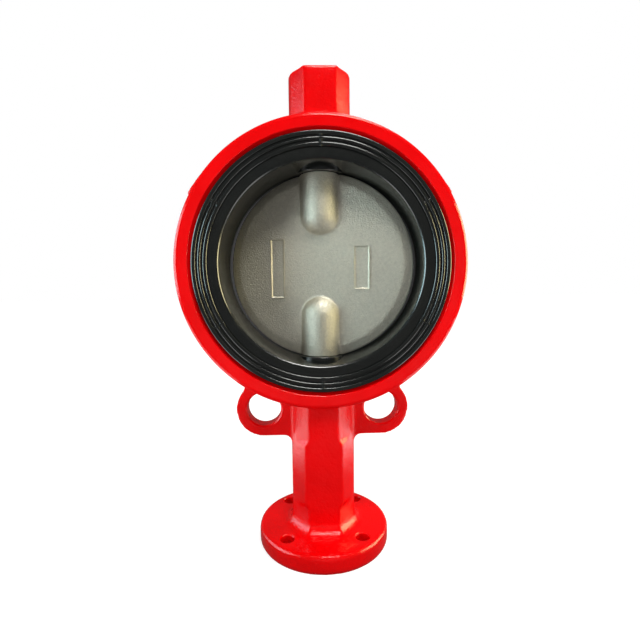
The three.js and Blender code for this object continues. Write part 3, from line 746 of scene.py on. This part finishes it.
# %% [markdown]
# ## The disc
# The disc is cast too: a bevelled plate with a domed hub above and below, blended into it. It is
# made like the body. The plate and the hubs are remeshed together so that the fillets form, then a
# turned tool trims the rim and the hub ends, and the two raised frames are added crisp.

# %% Rough disc: plate and hubs
DISC_R = 61.8
DISC_HALF = 5.5
BEVEL_R = 55.8
HUB_R = 13.8
HUB_REACH = 19.6  # from the disc's centre to the dome of each hub


def rough_plate():
    return turned([(0, -DISC_HALF), (BEVEL_R, -DISC_HALF), (62.6, -3.2), (62.6, 3.2),
                   (BEVEL_R, DISC_HALF), (0, DISC_HALF)])


def rough_hub(side):
    shoulder = HUB_REACH + HUB_R
    dome = arc(0, shoulder, HUB_R, -90, 0, 12)
    form = turned(dome + [(HUB_R, 61.5), (0, 61.5)], "Z", 96)
    if side < 0:
        mirrored(form, (0, 0, 1))
    bmesh.ops.translate(form, verts=form.verts, vec=(0, 0, CENTRE))
    return form


disc = as_object(together(rough_plate(), rough_hub(1), rough_hub(-1)), "disc_casting")
give_cast_skin(disc, 0.72, 5)
settle(disc)
print("rough disc:", len(disc.data.polygons), "faces")


# %% Trim the rim and the hub ends
def rim_tool():
    outer = 75
    return turned([(DISC_R, -2.2), (DISC_R - 0.25, -3), (DISC_R - 0.9, -3.5),
                   (DISC_R - 0.9, -30), (outer, -30), (outer, 30), (DISC_R - 0.9, 30),
                   (DISC_R - 0.9, 3.5), (DISC_R - 0.25, 3), (DISC_R, 2.2)], steps=256)


def hub_trim(side):
    low, high = sorted((CENTRE + side * 59.8, CENTRE + side * 80))
    return square_block(SAW, low, high)


# %% [markdown]
# ### Raised frames on the disc
# A foundry puts a raised border round its marks. The borders are here and the marks are not. Each
# is a block whose front is inset and pushed back, so a thin wall stands round a shallow panel. It
# is joined to the disc after the smoothing, and so stays crisp.

# %% Raised frames
FRAME_HEIGHT = 2
FRAME_WALL = 1.1


def raised_frame(x, width, height):
    form = bmesh.new()
    bmesh.ops.create_cube(form, size=1)
    bmesh.ops.scale(form, verts=form.verts, vec=(width, FRAME_HEIGHT, height))
    front = [f for f in form.faces if f.normal.y < -0.5]
    bmesh.ops.inset_region(form, faces=front, thickness=FRAME_WALL)
    bmesh.ops.translate(form, verts=front[0].verts[:], vec=(0, 0.9, 0))
    soften(form, 0.3, 40)
    bmesh.ops.translate(form, verts=form.verts, vec=(x, -DISC_HALF, CENTRE - 1.4))
    return form


frames = [raised_frame(-28.7, 9, 39.5), raised_frame(28.2, 10, 28.5)]
print("raised frames:", len(frames))

# %% Cut the disc, and its sockets for the stems
bottom, top = CENTRE - 70, CENTRE + 70
combine(disc, "DIFFERENCE", rim_tool(), hub_trim(1), hub_trim(-1))
combine(disc, "UNION", *frames)
combine(disc, "DIFFERENCE", rod(9.65, bottom, CENTRE - 51.8), rod(8.15, CENTRE + 53.8, top),
        square_block(14.3, bottom, CENTRE - 31.8), square_block(11.3, CENTRE + 35.8, top))
disc.data.transform(Matrix.Rotation(OPEN_ANGLE, 4, "Z"))
finish_piece(disc, "turning_set", ["disc"], [cast_steel], crease=38)

# %% [markdown]
# ## The plug in the stub
# A turned plug with a hexagon socket closes the stub. It is spun, and the socket is cut with a
# six-sided tool.


# %% Plug
HEXAGON_ACROSS = 12
plug_top = STUB_END - 0.6
plug = as_object(turned([(0, plug_top - 10.4), (11.2, plug_top - 10.4), (11.7, plug_top - 9.9),
                         (11.7, plug_top - 1.1), (11.4, plug_top - 0.5),
                         (10.7, plug_top), (0, plug_top)], "Z", 96), "threaded_plug")
combine(plug, "DIFFERENCE", rod(HEXAGON_ACROSS / math.sqrt(3), plug_top - 7, plug_top + 2, 6))
finish_piece(plug, "valve_body", ["stub_plug"], [zinc_steel])

# %% [markdown]
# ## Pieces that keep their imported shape
# The stems, bushes, seals and rings are simple turned pieces, mostly hidden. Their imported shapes
# are right, so each only gets its finish.

# %% Give the small pieces their finishes
small_pieces = {
    "seat_backing_ring": phenolic, "drive_stem": turned_steel, "pivot_stem": turned_steel,
    "dust_seal": seal_rubber, "circlip": spring_steel, "half_ring_left": zinc_steel,
    "half_ring_right": zinc_steel, "thrust_washer": turned_steel, "outer_bush": nylon,
    "stem_o_ring_outer": seal_rubber, "o_ring_spacer": nylon,
    "stem_o_ring_inner": seal_rubber, "inner_bush": nylon, "pivot_bush": nylon,
    "pivot_o_ring": seal_rubber, "pivot_thrust_washer": turned_steel,
    "plug_seal": seal_rubber,
}
for name, finish in small_pieces.items():
    nodes[name].data.materials.clear()
    nodes[name].data.materials.append(finish)
print("small pieces finished:", len(small_pieces))

# %% [markdown]
# ## The studio
# The valve stands on a white table that glows a little, so that it stays pale far away, and that
# throws no light back on the valve. The glow is a round gradient, a little weaker near the valve.


# %% White table
def table_top():
    form = bmesh.new()
    bmesh.ops.create_grid(form, x_segments=8, y_segments=8, size=8)
    return form


floor = as_object(table_top(), "white_table")
paper = Finish("white table", Roughness=0.95, Specular_IOR_Level=0.1, Emission_Strength=1.0)
nearness = paper.tree.nodes.new("ShaderNodeTexGradient")
nearness.gradient_type = "SPHERICAL"
paper.tree.links.new(paper.place.outputs["Object"], nearness.inputs["Vector"])
glow = paper.ramp(nearness.outputs["Fac"], (1.0, 1.0, 1.0), (0.72, 0.72, 0.72), 0.25, 0.8)
paper.tree.links.new(glow, paper.shader.inputs["Emission Color"])
paper.colour(paper.noise(3), (0.44, 0.44, 0.44), (0.47, 0.47, 0.47))
floor.data.materials.append(paper.made)
floor.visible_glossy = False
floor.visible_diffuse = False


# %% [markdown]
# ### Lamps
# A cool window on the left and a warm one on the right graze the rim, the facets and the ribs of
# the seat. Each is split in two: one lamp that only gleams, and a weaker one that only washes the
# sides. Three smaller boxes shape the disc and the upper faces, a front fill lights the paint
# without a reflection of its own, and two bounce cards on the table lift the undersides. So the
# flat red faces stay deep and only the edges shine.


# %% Softbox helper
def softbox(name, place, towards, width, height, power, colour, gleam=True, wash=True):
    lamp = bpy.data.lights.new(name, "AREA")
    lamp.shape = "RECTANGLE"
    lamp.size = width
    lamp.size_y = height
    lamp.energy = power
    lamp.color = colour
    box = bpy.data.objects.new(name, lamp)
    box.location = place
    box.rotation_euler = (Vector(towards) - Vector(place)).to_track_quat("-Z", "Y").to_euler()
    box.visible_camera = False
    box.visible_glossy = gleam
    box.visible_diffuse = wash
    bpy.context.scene.collection.objects.link(box)


# %% Place the lamps
middle = (0, 0, 0.18)
WHITE = (1.0, 1.0, 1.0)
cool, warm = (0.45, 0.88, 1.0), (1.0, 0.88, 0.48)
for side, power, colour in ((-1, 10, cool), (1, 22, warm)):
    place = (side * 0.95, -0.02, 0.32)
    softbox("window", place, middle, 0.9, 0.6, power, colour, wash=False)
    softbox("window haze", place, middle, 0.9, 0.6, power * 0.4, colour, gleam=False)
softbox("left box", (-0.92, -0.42, 0.34), middle, 0.5, 0.6, 4.6, (0.86, 0.98, 1.0))
softbox("top box", (0.15, -0.5, 1.05), middle, 0.4, 0.3, 7, (1.0, 1.0, 0.96))
softbox("back box", (0.3, 0.35, 1.1), middle, 0.35, 0.35, 4, WHITE)
softbox("front fill", (0.1, -1.4, 0.08), middle, 1.2, 1.0, 5.6, WHITE, gleam=False)
for side in (-1, 1):
    low = (side * 0.34, 0.05, 0.004)
    softbox("bounce card", low, (low[0], low[1], 1), 0.4, 0.5, 1.6, WHITE)
print("lamps:", len(bpy.data.lights))

# %% [markdown]
# ### The air round the valve
# The background should look white, but a white world would flood the valve with light. The Light
# Path node tells the two uses apart: what is seen directly is white, and what lights the valve
# is a faint fill.

# %% World: pale to the eye, dimmer as a light
world = bpy.data.worlds.new("studio air")
world.use_nodes = True
air = world.node_tree
seen = air.nodes.new("ShaderNodeBackground")
seen.inputs["Color"].default_value = (*WHITE, 1)
seen.inputs["Strength"].default_value = 1.0
fill = air.nodes["Background"]
fill.inputs["Color"].default_value = (*WHITE, 1)
fill.inputs["Strength"].default_value = 0.12
path = air.nodes.new("ShaderNodeLightPath")
choose = air.nodes.new("ShaderNodeMixShader")
air.links.new(path.outputs["Is Camera Ray"], choose.inputs["Fac"])
air.links.new(fill.outputs["Background"], choose.inputs[1])
air.links.new(seen.outputs["Background"], choose.inputs[2])
air.links.new(choose.outputs["Shader"], air.nodes["World Output"].inputs["Surface"])
bpy.context.scene.world = world
print("world:", world.name, "with a fill of", round(fill.inputs["Strength"].default_value, 2))

# %% [markdown]
# ## The camera
# The camera is close, so the lens is wide: the flange below looks large, and the walls of the
# bore open towards the eye.

# %% Camera
bpy.context.scene.view_settings.view_transform = "Standard"
lens = bpy.data.cameras.new("camera")
lens.sensor_width = 36
lens.lens = 23.17
lens.clip_start = 0.01
camera = bpy.data.objects.new("camera", lens)
tripod = (-0.0095, -0.2835, 0.1742)
yaw, pitch, roll = 0.030, -0.0736, -0.0115
forward = Vector((math.sin(yaw) * math.cos(pitch), math.cos(yaw) * math.cos(pitch),
                  math.sin(pitch)))
level = Vector((math.cos(yaw), -math.sin(yaw), 0))
above = level.cross(forward)
right = math.cos(roll) * level + math.sin(roll) * above
up = math.cos(roll) * above - math.sin(roll) * level
aim = Matrix((right, up, -forward)).transposed().to_4x4()
camera.matrix_world = Matrix.Translation(tripod) @ aim
bpy.context.scene.collection.objects.link(camera)
bpy.context.scene.camera = camera
print("camera", [round(v, 3) for v in camera.location])

# %% [markdown]
# ## Last step
# The finished valve has to fill the same space as the imported model. The scene is brought up to
# date at the end.

# %% Bring the scene up to date
bpy.context.view_layer.update()
